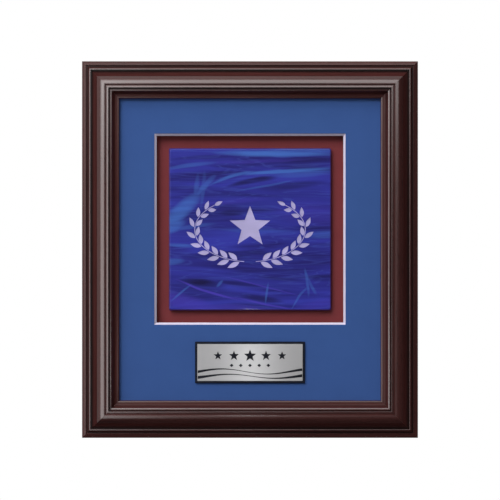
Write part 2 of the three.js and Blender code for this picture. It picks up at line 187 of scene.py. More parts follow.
def stained_wood(name, grain_axis):
    """Dark mahogany stain under satin lacquer, the grain along one axis.

    The sunk attribute says how deep a point lies in the moulding, in millimetres. The hollows darken with
    it, stain that gathers there together with painted shade. Rubbing down leaves little lacquer there.
    """
    finish = Finish(name, Roughness=0.5, Specular_IOR_Level=0.03, Coat_Roughness=0.2, Coat_IOR=1.75)
    drawn, pore_drawn = along_grain(grain_axis, 0.04), along_grain(grain_axis, 0.09)
    figure = finish.noise(95, 4, 0.6, 0.6, drawn)
    streaks = finish.noise(900, 5, 0.65, stretch=drawn)
    pores = finish.rescale(finish.noise(2300, 2, 0.5, stretch=pore_drawn), 0.6, 0.72)
    grain = finish.weighed(figure, 0.55, streaks)
    wood = finish.between(grain, colour(57, 28, 27), colour(79, 40, 38), 0.36, 0.64)
    wood = finish.blend(finish.math("MULTIPLY", pores, 0.4), wood, colour(24, 11, 10))
    sunk = finish.node("Attribute", attribute_name="sunk").outputs["Fac"]
    # Painted shade: the base colour darkens towards the deepest hollows, along with the stain gathered
    # there.
    wood = finish.blend(finish.rescale(sunk, 0.4, 1.1, 0.0, 0.9), wood, colour(20, 10, 9))
    finish.paint(wood)
    finish.set("Coat Weight", finish.rescale(sunk, -0.15, 0.15, 1.0, 0.08))
    finish.bump(finish.math("SUBTRACT", streaks, pores), 0.02 * MM, 0.3)
    return finish.material


def raw_wood(name, grain_axis):
    """The moulding's unfinished back."""
    finish = Finish(name, Roughness=0.85)
    drawn = along_grain(grain_axis, 0.035)
    figure = finish.noise(130, 5, 0.6, 0.9, drawn)
    fibres = finish.noise(1600, 4, 0.7, stretch=drawn)
    grain = finish.weighed(figure, 0.6, fibres)
    finish.paint(finish.between(grain, colour(150, 112, 76), colour(205, 172, 130), 0.33, 0.68))
    finish.bump(fibres, 0.15 * MM, 0.7)
    return finish.material


def paper(name, base, shade):
    """A mat board's facing: a soft cloud of pulp and fine felt marks."""
    finish = Finish(name, Roughness=0.9, Specular_IOR_Level=0.12)
    cloud = finish.noise(45, 4, 0.6)
    felt = finish.noise(2200, 4, 0.7)
    mottle = finish.weighed(cloud, 0.5, felt)
    finish.paint(finish.between(mottle, shade, base))
    finish.bump(felt, 0.06 * MM, 0.8)
    return finish.material


def board_core(name, base, shade):
    """The pulp that shows where a board is cut, in fine plies."""
    finish = Finish(name, Roughness=0.95, Specular_IOR_Level=0.2)
    plies = finish.noise(900, 3, 0.6, stretch=(0.2, 6, 0.2))
    fluff = finish.noise(3000, 3, 0.6)
    mottle = finish.weighed(plies, 0.5, fluff)
    finish.paint(finish.between(mottle, shade, base, high=0.6))
    finish.bump(mottle, 0.1 * MM, 0.6)
    return finish.material


def hardboard(name):
    """Pressed brown fibre, mottled, with darker flecks."""
    finish = Finish(name, Roughness=0.7, Specular_IOR_Level=0.35)
    cloud = finish.noise(30, 5, 0.65, 0.4)
    fibre = finish.noise(1100, 5, 0.75, 1.2)
    board = finish.between(cloud, colour(124, 88, 57), colour(141, 102, 67), 0.3, 0.7)
    flecks = finish.rescale(fibre, 0.56, 0.72, 0.0, 0.6)
    finish.paint(finish.blend(flecks, board, colour(74, 48, 30)))
    finish.bump(fibre, 0.08 * MM, 0.8)
    return finish.material


def metal(name, base, shade, roughness, depth, scale=900.0, streak=(1, 1, 1), metallic=1.0, across=None):
    """Plated or brushed metal. The marks have a depth in millimetres, and streak stretches them.

    across is the direction across a brushed lie, in which highlights spread.
    """
    finish = Finish(name, Metallic=metallic, Roughness=roughness)
    if across:
        finish.set("Anisotropic", 0.8)
        finish.set("Tangent", finish.node("CombineXYZ", dict(enumerate(across))).outputs[0])
    marks = finish.noise(scale, 5, 0.7, stretch=streak)
    blotch = finish.noise(180, 3, 0.6)
    finish.paint(finish.between(blotch, shade, base))
    finish.set("Roughness", finish.rescale(marks, 0.3, 0.7, roughness * 0.88, roughness * 1.14))
    finish.bump(marks, depth * MM, 0.6)
    return finish.material


def moulded(name, base, shade, roughness, scale=1500.0, depth=0.03, specular=0.5):
    """Plastic, rubber, enamel or foam: an even colour with a fine tooth."""
    finish = Finish(name, Roughness=roughness, Specular_IOR_Level=specular)
    tooth = finish.noise(scale, 4, 0.6)
    cloud = finish.noise(120, 3, 0.5)
    finish.paint(finish.between(cloud, shade, base))
    finish.set("Roughness", finish.rescale(tooth, 0.3, 0.7, roughness * 0.9, roughness * 1.1))
    finish.bump(tooth, depth * MM, 0.7)
    return finish.material


def streak_group():
    """A node group for one streak in the glass: a bent lens, 1 along its middle and 0 outside it."""
    group = bpy.data.node_groups.new("streak", "ShaderNodeTree")
    socket = group.interface.new_socket
    for name in ("x", "z", "centre x", "centre z", "slope", "bend", "half length", "half width"):
        socket(name, in_out="INPUT", socket_type="NodeSocketFloat")
    socket("share", in_out="OUTPUT", socket_type="NodeSocketFloat")
    given = group.nodes.new("NodeGroupInput").outputs
    nodes = Nodes(group)
    result = nodes.math
    along = result("SUBTRACT", given["x"], given["centre x"])
    rise = result("SUBTRACT", given["z"], given["centre z"])
    sloped = result("MULTIPLY", along, given["slope"])
    bent = result("MULTIPLY", result("MULTIPLY", along, along), given["bend"])
    across = result("SUBTRACT", result("SUBTRACT", rise, sloped), bent)
    lengths = result("DIVIDE", along, given["half length"])
    widths = result("DIVIDE", across, given["half width"])
    squares = result("ADD", result("MULTIPLY", lengths, lengths), result("MULTIPLY", widths, widths))
    share = nodes.rescale(squares, 1.0, 0.0, smooth=True)
    group.links.new(share, group.nodes.new("NodeGroupOutput").inputs["share"])
    return group


# Streaks in the tile, measured in half sides from its centre:
# across, up, slope, bend, half length, half width, strength.
LIGHT_STREAKS = (
    (0.3, 0.93, -0.01, 0, 0.85, 0.05, 0.9),
    (0.65, 0.97, 0, 0, 0.55, 0.07, 0.5),
    (-0.75, 0.79, 0.12, 0, 0.4, 0.03, 0.45),
    (0.4, 0.715, 0.05, 0.03, 0.72, 0.032, 0.95),
    (0.65, 0.7, 0.06, 0, 0.45, 0.07, 0.4),
    (-0.22, 0.675, 0.3, -0.5, 0.34, 0.028, 0.8),
    (-0.56, 0.54, 1.1, -1, 0.16, 0.07, 0.5),
    (-0.66, 0.5, 3, 0, 0.05, 0.17, 0.35),
    (-0.58, 0.5, 4, -20, 0.05, 0.2, 0.3),
    (0.2, 0.53, 0.2, 0.1, 0.42, 0.018, 0.4),
    (-0.86, 0.22, 0.75, 0, 0.3, 0.15, 0.75),
    (-0.97, 0.04, 0.2, 0, 0.2, 0.1, 0.7),
    (-0.75, 0.03, 0.1, 0, 0.4, 0.035, 0.35),
    (-0.86, -0.19, -0.05, 0, 0.25, 0.03, 0.5),
    (-0.96, -0.4, 0.1, 0, 0.2, 0.05, 0.5),
    (0.93, -0.07, 0.06, 0, 0.35, 0.06, 0.35),
    (0.1, -0.02, -0.03, 0, 0.6, 0.04, 0.2),
    (-0.36, -0.675, 0.8, 0, 0.05, 0.03, 0.6),
    (0.205, -0.785, 4, 0, 0.03, 0.09, 0.6),
    (0.7, -0.65, -4, 0, 0.035, 0.15, 0.5),
    (0.76, -0.71, -1.6, 6, 0.07, 0.05, 0.4),
    (0.6, -0.82, 1.3, -3, 0.13, 0.03, 0.45),
    (-0.85, -0.78, 0.7, 0, 0.16, 0.02, 0.5),
)
VIOLET_STREAKS = (
    (-0.8, -0.9, -0.25, 0, 0.6, 0.13, 0.6),
    (-0.5, -0.77, -0.33, 0.06, 0.5, 0.02, 0.9),
    (0.16, -0.92, -0.2, 0, 0.5, 0.018, 0.7),
    (0.14, -0.7, -0.26, 0, 0.55, 0.014, 0.7),
    (-0.2, -0.99, -0.06, 0, 0.8, 0.07, 0.5),
    (0.85, -0.93, 0.15, 0, 0.4, 0.08, 0.4),
    (0.8, 0.2, -0.06, 0, 0.6, 0.2, 0.3),
    (0.1, 0.84, 0.02, 0, 0.8, 0.025, 0.35),
    (-0.3, 0.33, 0.1, 0, 0.6, 0.04, 0.3),
)
DARK_STREAKS = (
    (0.02, 0.6, 0.17, -0.2, 0.36, 0.05, 0.95),
    (0.52, 0.54, 0.1, 0, 0.5, 0.06, 0.6),
    (0.62, 0.85, 0.03, 0, 0.5, 0.035, 0.6),
    (-0.6, 0.88, 0.04, 0, 0.45, 0.03, 0.45),
    (-0.45, 0.7, 0.15, 0, 0.3, 0.03, 0.4),
    (-0.22, 0.19, 0.02, 0, 0.2, 0.05, 0.7),
    (0.8, 0.02, 0, 0, 0.4, 0.03, 0.4),
    (-0.25, -0.3, 0.05, 0, 0.75, 0.05, 0.5),
    (-0.6, -0.66, -0.1, -0.15, 0.36, 0.055, 1),
    (-0.1, -0.68, -0.1, 0, 0.35, 0.035, 0.6),
    (0.15, -0.86, -0.1, 0, 0.3, 0.05, 0.85),
    (0.42, -0.62, -0.1, 0, 0.35, 0.03, 0.5),
    (0.92, -0.6, 0, 0, 0.3, 0.06, 0.5),
)


def swirled_glass(name, roughness, specular=0.5, dimmed=0.0):
    """Opaque art glass: indigo drawn out in near-level streaks, with the tile's own lights and darks.

    dimmed is how much of its colour an edge loses to a dull plum, 0 to 1.
    """
    finish = Finish(name, Roughness=roughness, Specular_IOR_Level=specular, IOR=1.52)
    middle, (low, high) = centre_of("glass_tile"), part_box("glass_tile")
    half = (high.x - low.x) / 2
    away = finish.vector("SUBTRACT", finish.node("TexCoord").outputs["Object"], middle)
    square = finish.vector("MULTIPLY", away, [1 / half] * 3)
    flow = finish.stretched(square, (0.8, 1, 1.6))
    drift = finish.node("TexNoise", {"Vector": flow, "Scale": 1.4, "Detail": 2.0}).outputs["Color"]
    drift = finish.vector("SUBTRACT", drift, (0.5, 0.5, 0.5))
    drift = finish.vector("MULTIPLY", drift, (0.1, 0, 0.07))
    warped = finish.vector("ADD", square, drift)
    parts = finish.node("SeparateXYZ", {0: warped})
    drawn = finish.stretched(warped, (0.35, 1, 4.0))
    ropes = finish.noise(1.5, 2, 0.5, 0.9, where=drawn)
    threads = finish.noise(3.4, 2.5, 0.5, 0.7, where=drawn)
    crossing = finish.math("SUBTRACT", finish.noise(2.6, 2, 0.5, 1.2, where=drawn), 0.5)
    wisps = finish.rescale(finish.math("ABSOLUTE", crossing), 0.035, 0.0, smooth=True)
    group = streak_group()

    def gathered(streaks):
        """The strongest of a set of streaks, combed by the threads."""
        total = 0.0
        for *place, strength in streaks:
            inputs = dict(enumerate((parts.outputs["X"], parts.outputs["Z"], *place)))
            streak = finish.node("Group", inputs, node_tree=group)
            total = finish.math("MAXIMUM", total, finish.math("MULTIPLY", streak.outputs[0], strength))
        return finish.math("MULTIPLY", total, finish.rescale(threads, 0.32, 0.6, 0.65, 1.0))

    glass = finish.between(ropes, colour(38, 35, 124), colour(57, 61, 180), 0.34, 0.66)
    glass = finish.blend(finish.rescale(threads, 0.5, 0.75, 0.0, 0.22), glass, colour(64, 82, 196))
    glass = finish.blend(finish.math("MULTIPLY", wisps, 0.22), glass, colour(78, 100, 205))
    glass = finish.blend(gathered(DARK_STREAKS), glass, colour(22, 19, 78))
    glass = finish.blend(gathered(VIOLET_STREAKS), glass, colour(80, 66, 198))
    glass = finish.blend(gathered(LIGHT_STREAKS), glass, colour(74, 122, 214))
    finish.paint(finish.blend(dimmed, glass, colour(66, 30, 76)))
    finish.bump(finish.noise(30, 2, 0.4), 0.05 * MM, 0.3)
    return finish.material


def frosted_glass(name):
    """Sand-blasted glass: pale, matt and fine-grained."""
    finish = Finish(name, Roughness=0.62)
    cloud = finish.noise(40, 3, 0.5, stretch=(0.5, 1, 2))
    blast = finish.noise(3200, 3, 0.6)
    finish.paint(finish.between(cloud, colour(172, 164, 212), colour(192, 184, 236)))
    finish.bump(blast, 0.04 * MM, 0.8)
    return finish.material


wood_level = stained_wood("stained_wood_level", 0)
wood_upright = stained_wood("stained_wood_upright", 2)
back_level = raw_wood("raw_wood_level", 0)
back_upright = raw_wood("raw_wood_upright", 2)
blue_facing = paper("blue_facing", colour(63, 97, 163), colour(60, 93, 157))
maroon_facing = paper("maroon_facing", colour(140, 64, 68), colour(132, 59, 63))
white_paper = paper("white_paper", colour(236, 234, 228), colour(226, 224, 218))
white_core = board_core("white_core", colour(230, 222, 242), colour(216, 206, 229))
foam_core = board_core("foam_core", colour(240, 240, 238), colour(222, 222, 220))
brown_board = hardboard("hardboard")
art_glass = swirled_glass("art_glass", 0.07)
ground_glass = swirled_glass("ground_glass", 0.5, 0.1, 0.65)
etched_glass = frosted_glass("etched_glass")
silver = metal(
    "silver", (0.5, 0.5, 0.51, 1), (0.49, 0.49, 0.5, 1), 0.24, depth=0.001, scale=5000,
    streak=(0.03, 1, 1), metallic=0.45, across=(0, 0, 1),
)
black_fill = moulded("black_fill", colour(22, 24, 32), colour(16, 17, 24), 0.6, specular=0.1)
black_enamel = moulded("black_enamel", colour(14, 22, 40), colour(10, 15, 28), 0.4, specular=0.12)
zinc = metal("zinc", (0.68, 0.69, 0.7, 1), (0.58, 0.59, 0.61, 1), 0.4, depth=0.02)
yellow_plate = metal("yellow_plate", (0.66, 0.5, 0.24, 1), (0.55, 0.4, 0.2, 1), 0.3, depth=0.02)
rubber = moulded("rubber", colour(52, 46, 44), colour(40, 36, 35), 0.75)
foam_tape = moulded("foam_tape", colour(232, 231, 224), colour(216, 214, 206), 0.85, depth=0.08)


# ---- Geometry helpers ----


def set_shading(mesh, crease):
    """Smooth shading, but for edges sharper than the crease angle in degrees."""
    mesh.shade_smooth()
    mesh.set_sharp_from_angle(angle=math.radians(crease))


def new_piece(name, points, faces, materials, face_materials=None, crease=32):
    """A mesh object with its normals outwards."""
    mesh = bpy.data.meshes.new(name)
    mesh.from_pydata([tuple(p) for p in points], [], faces)
    for material in materials:
        mesh.materials.append(material)
    if face_materials:
        mesh.polygons.foreach_set("material_index", face_materials)
    work = bmesh.new()
    work.from_mesh(mesh)
    bmesh.ops.recalc_face_normals(work, faces=work.faces)
    work.to_mesh(mesh)
    work.free()
    set_shading(mesh, crease)
    return placed(name, mesh)


def loft(name, rings, materials, strip_materials=None, closed=False, crease=32):
    """A closed skin over rings of points: a tube that is capped, or that closed joins end to end."""
    count = len(rings[0])
    points = [point for ring in rings for point in ring]
    faces, face_materials = [], []
    strips = len(rings) if closed else len(rings) - 1
    for strip in range(strips):
        here, there = strip * count, (strip + 1) % len(rings) * count
        for i in range(count):
            j = (i + 1) % count
            faces.append((here + i, here + j, there + j, there + i))
            face_materials.append(strip_materials[strip] if strip_materials else 0)
    if not closed:
        faces += [tuple(range(count)), tuple(range(len(points) - count, len(points)))]
        face_materials += [face_materials[0], face_materials[-1]]
    return new_piece(name, points, faces, materials, face_materials, crease)


def finished(piece, node, body="plaque"):
    """Gives a piece its body, and hides the CAD node that it stands for."""
    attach(piece, body)
    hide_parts(node)


def settled(piece, *modifiers):
    """Applies modifiers, each a kind with its settings, to a piece's mesh."""
    for kind, settings in modifiers:
        modifier = piece.modifiers.new(kind.lower(), kind)
        for key, value in settings.items():
            setattr(modifier, key, value)
    graph = bpy.context.evaluated_depsgraph_get()
    result = piece.evaluated_get(graph)
    mesh = bpy.data.meshes.new_from_object(result, preserve_all_data_layers=True, depsgraph=graph)
    piece.modifiers.clear()
    piece.data = mesh


def carved(piece, cutter, crease=32):
    """Cuts one solid out of another. The new faces keep the cutter's material."""
    settled(piece, ("BOOLEAN", {
        "operation": "DIFFERENCE",
        "solver": "EXACT",
        "object": cutter,
        "material_mode": "TRANSFER",
        "use_self": True,
    }))
    bpy.data.objects.remove(cutter)
    set_shading(piece.data, crease)


def arc(centre, radius, start, end, steps=12):
    """Points of an arc, between two angles in degrees. radius may be a pair, for an ellipse."""
    wide, high = radius if isinstance(radius, tuple) else (radius, radius)
    angles = (math.radians(start + (end - start) * i / steps) for i in range(steps + 1))
    return [(centre[0] + wide * math.cos(a), centre[1] + high * math.sin(a)) for a in angles]


def rounded_rectangle(width, height, radius, steps=5):
    """Outline of a rectangle with round corners, about the origin."""
    right, top = width / 2 - radius, height / 2 - radius
    corners = ((right, top, 0), (-right, top, 90), (-right, -top, 180), (right, -top, 270))
    return [p for x, z, start in corners for p in arc((x, z), radius, start, start + 90, steps)]


def sheet(name, node, layers, corner=0.3 * MM, arris=0.2 * MM, cutter=None):
    """A board in its CAD node's place. Its layers are (share of the depth, material), from the front."""
    low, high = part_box(node)
    width, depth, height = high - low
    middle = (low + high) / 2
    materials = list(dict.fromkeys(material for _, material in layers))

    def ring(inset, y):
        return upright(rounded_rectangle(width - 2 * inset, height - 2 * inset, corner), middle, y)

    rings = [ring(arris, low.y), ring(0, low.y + arris)]
    y = low.y
    for share, _ in layers[:-1]:
        y += share * depth
        rings.append(ring(0, y))
    rings += [ring(0, high.y - arris), ring(arris, high.y)]
    strips = [materials.index(material) for _, material in (layers[0], *layers, layers[-1])]
    piece = loft(name, rings, materials, strips)
    if cutter:
        carved(piece, cutter)
    finished(piece, node)


def upright(outline, centre, y, scale=1):
    """A ring of points: an outline set upright about a centre, in the plane at y."""
    return [(centre.x + x * scale, y, centre.z + z * scale) for x, z in outline]


def prisms(name, outlines, material, front, back):
    """Upright prisms from outlines of (x, z) points, between two y planes, as one piece."""
    points, faces = [], []
    for outline in outlines:
        start, count = len(points), len(outline)
        points += [(x, y, z) for y in (front, back) for x, z in outline]
        faces += [tuple(range(start, start + count)), tuple(range(start + count, start + 2 * count))]
        for i in range(count):
            here, there = start + i, start + (i + 1) % count
            faces.append((here, there, there + count, here + count))
    return new_piece(name, points, faces, [material])


def turned(name, profile, node, material, sides=48):
    """A solid turned round a CAD node's axis, along Y. Its profile is (radius, y) pairs from end to end."""
    centre = centre_of(node)
    angles = [TURN * i / sides for i in range(sides)]
    rings = [[(centre.x + radius * math.cos(a), y, centre.z + radius * math.sin(a)) for a in angles]
             for radius, y in profile]
    return loft(name, rings, [material])


# ---- The moulding ----
SECTION_STRETCH = 0.4 * MM  # no two points of the section lie further apart
MITRE_EASE = 0.04 * MM  # from each mitred end to the corner's own plane
RABBET_WIDTH = 6.35 * MM
RABBET_DEPTH = 18 * MM
LIP_ROUND = 1.4 * MM
HOLLOW_REACH = 3.2 * MM  # how far to each side a hollow is judged by, and the least of it near the side
SIDE_REACH = 0.6 * MM
LIP_SUNK = -0.02  # how deep the lip's rounding counts as sunk, so that it keeps more of its lacquer


def moulding_section():
    """The moulding's face as (across, height) points, from the lip at the mat out to the frame's side."""
    lip = RAIL_WIDTH / MM
    lip_round = LIP_ROUND / MM
    crest = CREST / MM
    front = [
        *arc((lip - lip_round, crest - 9.48), lip_round, 0, 84),
        *arc((32.95, crest - 3.1), 4.85, -96, -162),
        *arc((27.15, crest - 5.8), 2.1, 56, 81),
        (26.4, crest - 3.6),
        (26.2, crest - 4.0),
        (25.35, crest - 4.0),
        *arc((25.05, crest - 1.05), 0.3, 0, 90, 4),
        *arc((25.05, crest - 4.15), 3.4, 90, 120),
        (22.2, crest - 1.15),
        *arc((21.0, crest - 8.0), 8.0, 84, 150),
        *arc((6.364, crest + 0.45), 8.9, -30, -70),
        (9.3, crest - 8.3),
        (8.5, crest - 8.3),
        *arc((7.9, crest - 6.05), 0.35, 0, 90, 4),
        *arc((7.8, crest - 7.1), 1.4, 90, 150),
        (5.8, crest - 8.3),
        (5.1, crest - 8.7),
        (3.9, crest - 8.6),
        (3.6, crest - 7.78),
        *arc((0.9, crest - 10.0), 0.9, 112, 180),
    ]
    section = []
    for start, end in zip(front, front[1:]):
        pieces = math.ceil(math.dist(start, end) * MM / SECTION_STRETCH)
        section += [Vector(start).lerp(Vector(end), i / pieces) for i in range(pieces)]
    return [(across * MM, height * MM) for across, height in (*section, front[-1])]


def sunk_depths(section):
    """How far each point lies below the mean height of the moulding near it, in millimetres."""
    spans = [(abs(b[0] - a[0]), (a[0] + b[0]) / 2, (a[1] + b[1]) / 2) for a, b in zip(section, section[1:])]
    lip, side = section[0][0], section[-1][0]
    depths = []
    for across, height in section:
        if lip - across < LIP_ROUND:
            depths.append(LIP_SUNK)
            continue
        reach = min(HOLLOW_REACH, max(across - side, SIDE_REACH))
        near = [(width, level) for width, place, level in spans if abs(place - across) <= reach]
        mean = sum(width * level for width, level in near) / sum(width for width, _ in near)
        depths.append((mean - height) / MM)
    return depths


def nail_slots(name, nodes, material):
    """One cutter for the slots of a rail's V-nails, a little wider than the nails and open at the back."""
    ease, overrun = 0.05 * MM, 1 * MM
    points, faces = [], []
    for node in nodes:
        mesh, start = frame["nodes"][node].data, len(points)
        corners = {}
        for vertex in mesh.vertices:
            corners.setdefault(tuple(round(c, 6) for c in vertex.co), []).append(vertex.index)
        corner_of = {index: rank for rank, group in enumerate(corners.values()) for index in group}
        back = max(co[1] for co in corners)
        outward = [Vector() for _ in corners]
        for polygon in mesh.polygons:
            for index in polygon.vertices:
                outward[corner_of[index]] += polygon.normal
        for co, normal in zip(corners, outward):
            point = Vector(co) + ease * Vector((normal.x, 0, normal.z)).normalized()
            points.append(point + Vector((0, overrun if co[1] == back else -ease, 0)))
        faces += [[start + corner_of[i] for i in polygon.vertices] for polygon in mesh.polygons]
    return new_piece(name, points, faces, [material])


def rail(side, quarter_turns):
    """A mitred length of moulding, made lying along the bottom and turned to its own side."""
    if quarter_turns % 2 == 1:
        half_length, distance, stained, raw = HALF_HEIGHT, HALF_WIDTH, wood_upright, back_upright
    else:
        half_length, distance, stained, raw = HALF_WIDTH, HALF_HEIGHT, wood_level, back_level
    front = moulding_section()
    wall = RAIL_WIDTH - RABBET_WIDTH
    hidden = [(0, 0), (wall, 0), (wall, RABBET_DEPTH), (RAIL_WIDTH, RABBET_DEPTH)]
    section = front + hidden
    rotation = Matrix.Rotation(quarter_turns * TURN / 4, 3, "Z")

    def end(sign):
        ring = []
        for across, height in section:
            flat = rotation @ Vector((sign * (half_length - across - MITRE_EASE), across - distance, 0))
            ring.append((flat.x, BACK - height, MIDDLE + flat.y))
        return ring

    # Each face takes the finish of the stretch of section that it spans.
    count, first, last = len(section), end(-1), end(1)
    faces = [(i, (i + 1) % count, count + (i + 1) % count, count + i) for i in range(count)]
    finishes = [0 if i < len(front) else 1 for i in range(count)]
    finishes[count - 1] = 0
    faces += [tuple(range(count)), tuple(range(count, 2 * count))]
    finishes += [1, 1]
    piece = new_piece(f"rail_{side}", first + last, faces, [stained, raw], finishes, crease=40)
    sunk = piece.data.attributes.new("sunk", "FLOAT", "POINT")
    depths = sunk_depths(front) + [0.0] * len(hidden)
    sunk.data.foreach_set("value", depths + depths)
    nails = [n for n in frame["nodes"] if n.startswith("v_nail") and f"_{side}_" in n]
    carved(piece, nail_slots(f"nail_slots_{side}", nails, raw), crease=40)
    finished(piece, f"frame_rail_{side}")


for turns, side in enumerate(("bottom", "right", "top", "left")):
    rail(side, turns)

# ---- The mat, with its bevelled window ----
WINDOW_HALF = 89.75 * MM
FACING = 0.25 * MM
MAT_ARRIS = 0.15 * MM


def window_mat():
    """Blue facing over a white core. The window is cut at 45 degrees, and narrows towards the back."""
    low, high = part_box("window_mat")
    width, depth, height = high - low
    board, tile = (low + high) / 2, centre_of("glass_tile")

    def ring(centre, right, top, y):
        return upright(((right, top), (-right, top), (-right, -top), (right, -top)), centre, y)

    def outer(inset, y):
        return ring(board, width / 2 - inset, height / 2 - inset, y)

    def window(inset, y):
        return ring(tile, WINDOW_HALF - inset, WINDOW_HALF - inset, y)

    rings = [
        outer(MAT_ARRIS, low.y),
        window(0, low.y),
        window(FACING, low.y + FACING),
        window(depth, high.y),
        outer(0, high.y),
        outer(0, low.y + MAT_ARRIS),
    ]
    materials = [blue_facing, white_core, white_paper]
    piece = loft("blue_window_mat", rings, materials, [0, 0, 1, 2, 1, 0], closed=True)
    finished(piece, "window_mat")


window_mat()

# ---- The boards behind it ----
FOAM_LAYERS = ((0.07, white_paper), (0.86, foam_core), (0.07, white_paper))
for place in ("top", "bottom", "left", "right"):
    sheet(f"spacer_strip_{place}", f"mat_spacer_{place}", FOAM_LAYERS)
sheet("maroon_ground_board", "ground_board", ((0.15, maroon_facing), (0.85, white_core)))
sheet("foam_mount_board", "mount_board", FOAM_LAYERS)
sheet("hardboard_back", "back_panel", ((1.0, brown_board),), corner=0.8 * MM, arris=0.35 * MM)
for row in ("top", "bottom"):
    for column in ("left", "right"):
        node = f"tile_pad_{row}_{column}"
        sheet(f"foam_pad_{row}_{column}", node, ((1.0, foam_tape),), corner=1.5 * MM)

# ---- Emblems ----


def star(x, z, radius, waist=0.42, points=5):
    """Outline of a star, one point up."""
    outline = []
    for i in range(2 * points):
        reach = radius if i % 2 == 0 else radius * waist
        angle = TURN / 4 + i * TURN / (2 * points)
        outline.append((x + reach * math.cos(angle), z + reach * math.sin(angle)))
    return outline


def leaf(x, z, direction, length, width, steps=9):
    """Outline of a laurel leaf from its foot, widest before the middle, along a direction in radians."""
    shares = [i / steps for i in range(1, steps)]
    edge = [(length * share, width / 2 * math.sin(math.pi * share ** 0.85)) for share in shares]
    outline = [(0, 0), *((a, -b) for a, b in edge), (length, 0), *reversed(edge)]
    cos, sin = math.cos(direction), math.sin(direction)
    return [(x + a * cos - b * sin, z + a * sin + b * cos) for a, b in outline]


def evenly(point_at, first, last, count):
    """Angles that part a curve, between two angles in degrees, into stretches of one length."""
    steps, hair = 200, 1e-9
    fine = [first + (last - first) * i / steps for i in range(steps + 1)]
    runs = [0.0]
    for here, there in zip(fine, fine[1:]):
        runs.append(runs[-1] + (point_at(there) - point_at(here)).length)
    return [fine[bisect_left(runs, runs[-1] * i / (count - 1) - hair)] for i in range(count)]


def laurel(side, spread=(52 * MM, 30 * MM), first=-79, last=50, pairs=9):
    """One branch of a wide laurel: a thin stem between pairs of leaves, with a leaf at its tip."""
    def at(angle):
        a = math.radians(angle)
        return Vector((spread[0] * math.cos(a), spread[1] * math.sin(a)))

    def stem(angle, offset=0.0):
        along = (at(angle + 0.5) - at(angle - 0.5)).normalized()
        return at(angle) + offset * Vector((along.y, -along.x)), along

    half_stem, steps = 0.35 * MM, 28
    ends = (first - 5, last)
    edges = [[stem(ends[0] + (ends[1] - ends[0]) * i / steps, offset)[0] for i in range(steps + 1)]
             for offset in (half_stem, -half_stem)]
    outlines = [[tuple(p) for p in edges[0] + edges[1][::-1]]]
    *stations, tip = evenly(at, first, last, pairs + 1)
    for pair, angle in enumerate(stations):
        share = pair / (pairs - 1)
        length = (12.4 - 3.4 * share) * MM
        for outward in (1, -1):
            foot, along = stem(angle + (0 if outward > 0 else 2.5), outward * 0.95 * MM)
            direction = math.atan2(along.y, along.x) - outward * math.radians(32)
            scale = 1 if outward > 0 else 0.88
            outlines.append(leaf(foot.x, foot.y, direction, length * scale, (4.7 - 0.9 * share) * MM))
    foot, along = stem(tip)
    outlines.append(leaf(foot.x, foot.y, math.atan2(along.y, along.x), 8.6 * MM, 3.6 * MM))
    if side < 0:
        outlines = [[(-x, z) for x, z in reversed(outline)] for outline in outlines]
    return outlines


def shifted(outlines, x, z):
    """Outlines moved across and up."""
    return [[(x + a, z + b) for a, b in outline] for outline in outlines]


# ---- The glass tile: satin-ground edges, and an emblem etched into its face ----
ETCH_DEPTH = 0.25 * MM
TILE_ARRIS = 1.1 * MM
TILE_CORNER = 1.6 * MM
CUTTER_RISE = 1 * MM  # how far an emblem's cutter stands out of the face that it cuts


def glass_tile():
    """A square of glass whose face holds a star between two sprays of laurel."""
    low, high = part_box("glass_tile")
    middle = (low + high) / 2
    side = high.x - low.x

    def ring(inset, y):
        return upright(rounded_rectangle(side - 2 * inset, side - 2 * inset, TILE_CORNER, 6), middle, y)

    # A ring just inside each rounded edge keeps the faces' shading flat.
    rounding = arc((0, 0), TILE_ARRIS, 90, 0, 6)
    front = [ring(TILE_ARRIS - a, low.y + TILE_ARRIS - b) for a, b in rounding]
    back = [ring(TILE_ARRIS - a, high.y - TILE_ARRIS + b) for a, b in reversed(rounding)]
    rings = [ring(1.3 * TILE_ARRIS, low.y), *front, *back, ring(1.3 * TILE_ARRIS, high.y)]
    strips = [0, *[1] * (len(rings) - 3), 0]
    piece = loft("swirled_glass_tile", rings, [art_glass, ground_glass, etched_glass], strips, crease=25)
    emblem = [star(0, 2.5 * MM, 20 * MM), *laurel(1), *laurel(-1)]
    emblem = shifted(emblem, middle.x, middle.z - 0.5 * MM)
    cutter = prisms("etching", emblem, etched_glass, low.y - CUTTER_RISE, low.y + ETCH_DEPTH)
    carved(piece, cutter, crease=25)
    finished(piece, "glass_tile")


glass_tile()

# ---- The name plate ----
ENGRAVING = 0.15 * MM
RIBBON_HALF = 48.9 * MM


def ribbon(height, swing, phase, stroke, steps=48):
    """Outline of a level wave. stroke gives half its thickness in the middle, and what the ends add."""
    top, under = [], []
    for i in range(steps + 1):
        share = 2 * i / steps - 1
        x = RIBBON_HALF * share
        z = height + swing * math.sin(phase + 1.15 * math.pi * share)
        half_stroke = stroke[0] + stroke[1] * share * share
        top.append((x, z + half_stroke))
        under.append((x, z - half_stroke))
    return under + top[::-1]


def plate_artwork():
    """Five stars over five lozenges, and two waves below."""
    sizes = (4.2, 4.9, 6.0, 4.9, 4.2)
    outlines = [star((i - 2) * 15 * MM, 6.3 * MM, size * MM) for i, size in enumerate(sizes)]
    lozenge = [(1.8 * MM, 0), (0, 1.6 * MM), (-1.8 * MM, 0), (0, -1.6 * MM)]
    for i in range(5):
        outlines += shifted([lozenge], (i - 2) * 8.6 * MM, -2.7 * MM)
    outlines.append(ribbon(-8.4 * MM, 2.4 * MM, 3.5, (0.25 * MM, 1.0 * MM)))
    outlines.append(ribbon(-12.9 * MM, 1.9 * MM, 3.0, (0.3 * MM, 1.1 * MM)))
    return outlines


